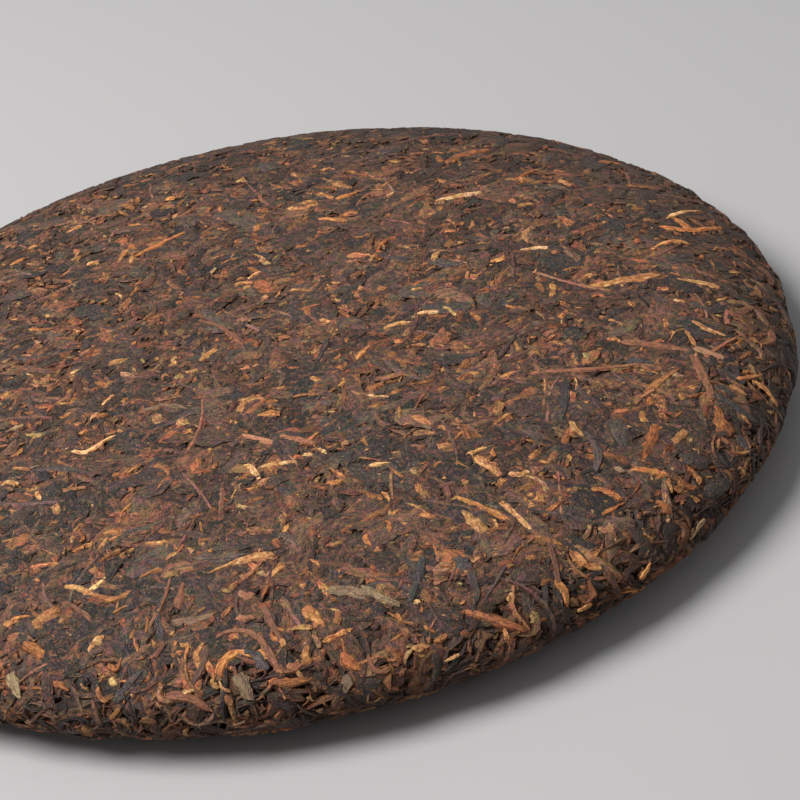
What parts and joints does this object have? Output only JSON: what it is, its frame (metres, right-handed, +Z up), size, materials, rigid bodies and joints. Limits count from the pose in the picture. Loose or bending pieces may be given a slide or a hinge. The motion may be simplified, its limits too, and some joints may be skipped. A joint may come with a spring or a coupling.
{
  "type": "pu-erh tea cake",
  "caption": "Round cake of pressed ripe tea leaves, domed on top with a rounded edge, a flat underside and a central dimple beneath",
  "frame": {"origin": "on the table, under the middle of the cake as it lies with its domed side up", "axes": "+Z up along the cake's axis, X and Y across it; the side nearest the viewer in the picture is -Y"},
  "size_m": [0.1997, 0.1997, 0.024],
  "materials": {
    "dark_leaf": "dark brown pressed tea leaf with a soft sheen"
  },
  "bodies": {
    "root": {"tea_cake": "dark_leaf"}
  },
  "joints": []
}
